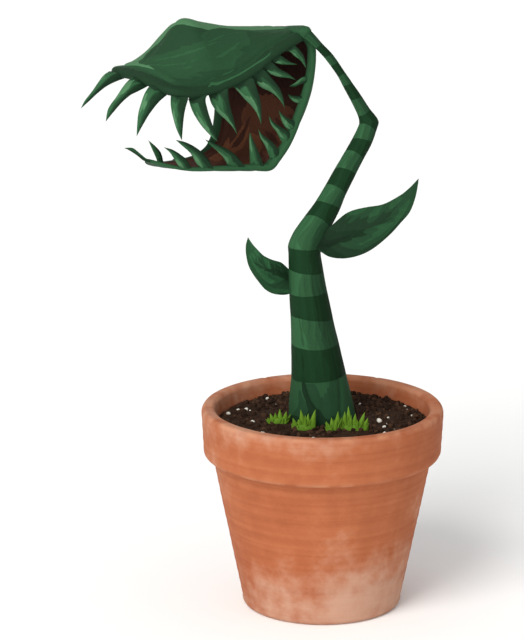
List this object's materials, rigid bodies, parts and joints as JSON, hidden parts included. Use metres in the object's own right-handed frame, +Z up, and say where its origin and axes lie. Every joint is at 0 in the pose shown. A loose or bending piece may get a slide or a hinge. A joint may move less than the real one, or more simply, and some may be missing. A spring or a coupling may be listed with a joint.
{
  "type": "potted venus flytrap",
  "caption": "Potted venus flytrap: one large open two-lobed trap fringed with bristles on a bent banded stalk, with leaves and grass tufts, in a plain terracotta pot.",
  "frame": {"origin": "centre of the pot's flat underside, on the pot's axis", "axes": "+Z up along the pot's axis, +X to the right of the front view, away from the trap's mouth, -Y toward the viewer of the front view"},
  "size_m": [0.0943, 0.065, 0.1565],
  "materials": {
    "terracotta": "matte fired clay",
    "potting_mix": "damp crumbly peat",
    "stalk": "satin, banded light and dark green",
    "leaf": "satin, darker round the midrib",
    "trap_lobe": "satin green outside, dark red-brown inside",
    "bristle": "satin, pale ridge",
    "grass": "satin"
  },
  "bodies": {
    "root": {"pot": "terracotta", "soil": "potting_mix", "stem": "stalk", "leaf_right": "leaf", "leaf_left": "leaf", "trap_midrib": "stalk", "trap_upper_lobe": "trap_lobe", "trap_lower_lobe": "trap_lobe", "upper_tooth_01": "bristle", "upper_tooth_02": "bristle", "upper_tooth_03": "bristle", "upper_tooth_04": "bristle", "upper_tooth_05": "bristle", "upper_tooth_06": "bristle", "upper_tooth_07": "bristle", "upper_tooth_08": "bristle", "upper_tooth_09": "bristle", "upper_tooth_10": "bristle", "upper_tooth_11": "bristle", "upper_tooth_12": "bristle", "upper_tooth_13": "bristle", "upper_tooth_14": "bristle", "upper_tooth_15": "bristle", "upper_tooth_16": "bristle", "upper_tooth_17": "bristle", "lower_tooth_01": "bristle", "lower_tooth_02": "bristle", "lower_tooth_03": "bristle", "lower_tooth_04": "bristle", "lower_tooth_05": "bristle", "lower_tooth_06": "bristle", "lower_tooth_07": "bristle", "lower_tooth_08": "bristle", "lower_tooth_09": "bristle", "lower_tooth_10": "bristle", "lower_tooth_11": "bristle", "lower_tooth_12": "bristle", "lower_tooth_13": "bristle", "lower_tooth_14": "bristle", "lower_tooth_15": "bristle", "lower_tooth_16": "bristle", "grass_tuft_1": "grass", "grass_tuft_2": "grass", "grass_tuft_3": "grass", "grass_tuft_4": "grass", "grass_tuft_5": "grass"}
  },
  "joints": []
}
